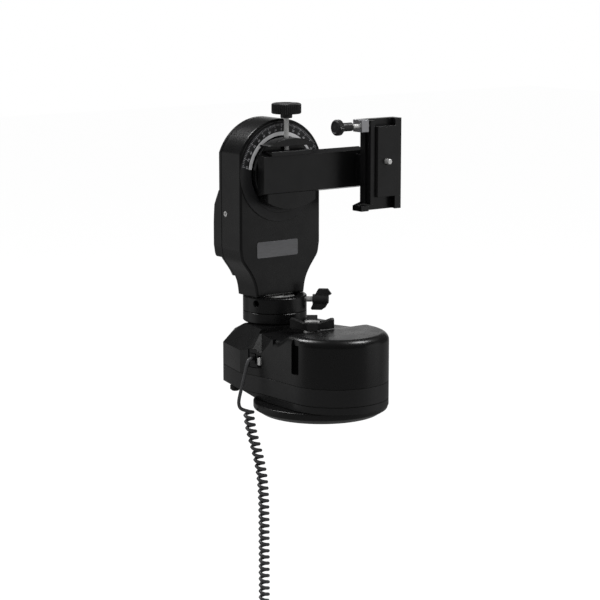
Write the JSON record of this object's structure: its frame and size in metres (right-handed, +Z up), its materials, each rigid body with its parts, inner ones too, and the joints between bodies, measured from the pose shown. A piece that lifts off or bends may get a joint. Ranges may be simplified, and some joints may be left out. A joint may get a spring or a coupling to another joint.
{
  "type": "motorized camera head",
  "caption": "Motorized single-arm camera head: turning base, arm with a graduated circle, dovetail saddle and camera bracket, hanging handset cord.",
  "frame": {"origin": "middle of the tripod seat under the flange, on the azimuth axis", "axes": "+Z up along the azimuth axis; -Y is the way the arm's saddle faces; +X runs right along the arm's face, towards the camera bracket"},
  "size_m": [0.2016, 0.202, 0.5541],
  "materials": {
    "casing_black": "die-cast, satin black powder coat",
    "circle_black": "satin black with silver graduations",
    "bracket_black": "black anodised",
    "knob_black": "moulded, fine texture",
    "port_black": "moulded",
    "cord_black": "satin extruded sheath",
    "foot_rubber": "matte",
    "steel": "turned and polished",
    "brass": "machined",
    "aluminium": "machined",
    "motor_grey": "plated can",
    "board_green": "solder mask"
  },
  "bodies": {
    "tripod_side": {"tripod_flange": "casing_black", "tripod_thread_insert": "brass", "azimuth_spindle": "steel", "azimuth_worm_wheel": "brass", "azimuth_clutch_plate": "steel"},
    "azimuth_base": {"azimuth_bearing": "steel", "base_bottom_plate": "casing_black", "base_lower_casing": "casing_black", "base_upper_casing": "casing_black", "azimuth_motor": "motor_grey", "azimuth_gearbox": "motor_grey", "azimuth_worm_bracket": "aluminium", "control_board": "board_green", "handset_socket": "port_black", "power_switch_body": "port_black", "underside_foot_left": "foot_rubber", "underside_foot_right": "foot_rubber", "collar_base": "casing_black", "swivel_post": "steel", "swivel_cap": "steel", "cord_near_plug": "port_black", "cord_lead": "cord_black", "cord_curls": "cord_black", "cord_far_plug": "port_black"},
    "azimuth_worm": {"azimuth_worm": "steel"},
    "azimuth_lock_pad": {"azimuth_lock_pad": "brass"},
    "azimuth_lock_knob": {"azimuth_lock_stud": "steel", "azimuth_lock_knob": "knob_black"},
    "power_slider": {"power_switch_slider": "steel"},
    "arm": {"arm_collar": "casing_black", "swivel_bush": "brass", "arm_front_shell": "casing_black", "arm_rear_cover": "casing_black", "arm_cover_screw_left": "steel", "arm_cover_screw_right": "steel", "altitude_front_bearing": "steel", "altitude_rear_bearing": "steel", "altitude_motor": "motor_grey", "altitude_gearbox": "motor_grey", "altitude_worm_bracket": "aluminium", "setting_circle": "circle_black"},
    "altitude_worm": {"altitude_worm": "steel"},
    "arm_lock_pad": {"arm_lock_pad": "brass"},
    "arm_lock_bolt": {"arm_lock_bolt": "steel", "arm_lock_wing": "knob_black"},
    "altitude_axis": {"altitude_shaft": "steel", "altitude_worm_wheel": "brass", "saddle_body": "casing_black"},
    "saddle_jaw": {"saddle_jaw": "bracket_black"},
    "saddle_knob": {"saddle_clamp_screw": "steel", "saddle_clamp_knob": "knob_black"},
    "camera_bar": {"dovetail_bar": "bracket_black", "bracket_upright": "bracket_black", "bracket_bolt": "steel", "shoe_clamp_block": "aluminium"},
    "shoe_jaw": {"shoe_jaw": "bracket_black"},
    "shoe_knob": {"shoe_clamp_screw": "steel", "shoe_clamp_knob": "knob_black"},
    "camera_shoe": {"camera_shoe": "bracket_black"},
    "camera_screw": {"camera_screw": "steel"}
  },
  "joints": [
    {"name": "azimuth_turn", "type": "hinge", "parent": "tripod_side", "child": "azimuth_base", "pos_m": [0, 0, 0.022], "axis": [0, 0, 1], "continuous": true},
    {"name": "azimuth_worm_spin", "type": "hinge", "parent": "azimuth_base", "child": "azimuth_worm", "pos_m": [0, 0.042, 0.0383], "axis": [1, 0, 0], "continuous": true},
    {"name": "azimuth_lock_turn", "type": "hinge", "parent": "azimuth_lock_pad", "child": "azimuth_lock_knob", "pos_m": [0, 0.0145, 0.088], "axis": [0, 0, 1], "range_deg": [0, 360]},
    {"name": "azimuth_lock_travel", "type": "slide", "parent": "azimuth_base", "child": "azimuth_lock_pad", "axis": [0, 0, 1], "range_m": [0, 0.00125]},
    {"name": "power_switch_slide", "type": "slide", "parent": "azimuth_base", "child": "power_slider", "axis": [0, 0, 1], "range_m": [-0.0016, 0.0016]},
    {"name": "arm_swivel", "type": "hinge", "parent": "azimuth_base", "child": "arm", "pos_m": [0, 0.08, 0.1], "axis": [0, 0, 1], "range_deg": [-90, 90]},
    {"name": "arm_lock_turn", "type": "hinge", "parent": "arm_lock_pad", "child": "arm_lock_bolt", "pos_m": [0, 0.08, 0.107], "axis": [0.7431, -0.6691, 0], "range_deg": [0, 360]},
    {"name": "arm_lock_travel", "type": "slide", "parent": "arm", "child": "arm_lock_pad", "axis": [0.7431, -0.6691, 0], "range_m": [0, 0.00125]},
    {"name": "altitude_turn", "type": "hinge", "parent": "arm", "child": "altitude_axis", "pos_m": [0, 0.08, 0.243], "axis": [0, 1, 0], "range_deg": [-105, 105]},
    {"name": "altitude_worm_spin", "type": "hinge", "parent": "arm", "child": "altitude_worm", "pos_m": [0, 0.0875, 0.207], "axis": [1, 0, 0], "continuous": true},
    {"name": "saddle_knob_turn", "type": "hinge", "parent": "saddle_jaw", "child": "saddle_knob", "pos_m": [0, 0.059, 0.3], "axis": [0, 0, 1], "range_deg": [0, 1296]},
    {"name": "saddle_jaw_slide", "type": "slide", "parent": "altitude_axis", "child": "saddle_jaw", "axis": [0, 0, 1], "range_m": [0, 0.0045]},
    {"name": "camera_bar_slide", "type": "slide", "parent": "altitude_axis", "child": "camera_bar", "axis": [1, 0, 0], "range_m": [-0.03, 0.03]},
    {"name": "shoe_knob_turn", "type": "hinge", "parent": "shoe_jaw", "child": "shoe_knob", "pos_m": [0.05, 0.0252, 0.2905], "axis": [-1, 0, 0], "range_deg": [0, 360]},
    {"name": "shoe_jaw_slide", "type": "slide", "parent": "camera_bar", "child": "shoe_jaw", "axis": [-1, 0, 0], "range_m": [0, 0.00125]},
    {"name": "camera_shoe_slide", "type": "slide", "parent": "camera_bar", "child": "camera_shoe", "axis": [0, 0, 1], "range_m": [-0.025, 0.025]},
    {"name": "camera_screw_turn", "type": "hinge", "parent": "camera_shoe", "child": "camera_screw", "pos_m": [0.102, 0.02, 0.252], "axis": [0, -1, 0], "continuous": true}
  ],
  "couplings": [
    {"joint": "azimuth_worm_spin", "follows": "azimuth_turn", "ratio": -40},
    {"joint": "altitude_worm_spin", "follows": "altitude_turn", "ratio": 40},
    {"joint": "azimuth_lock_turn", "follows": "azimuth_lock_travel", "rad_per_m": 5026.5},
    {"joint": "arm_lock_turn", "follows": "arm_lock_travel", "rad_per_m": 5026.5},
    {"joint": "saddle_knob_turn", "follows": "saddle_jaw_slide", "rad_per_m": 5026.5},
    {"joint": "shoe_knob_turn", "follows": "shoe_jaw_slide", "rad_per_m": 5026.5}
  ]
}
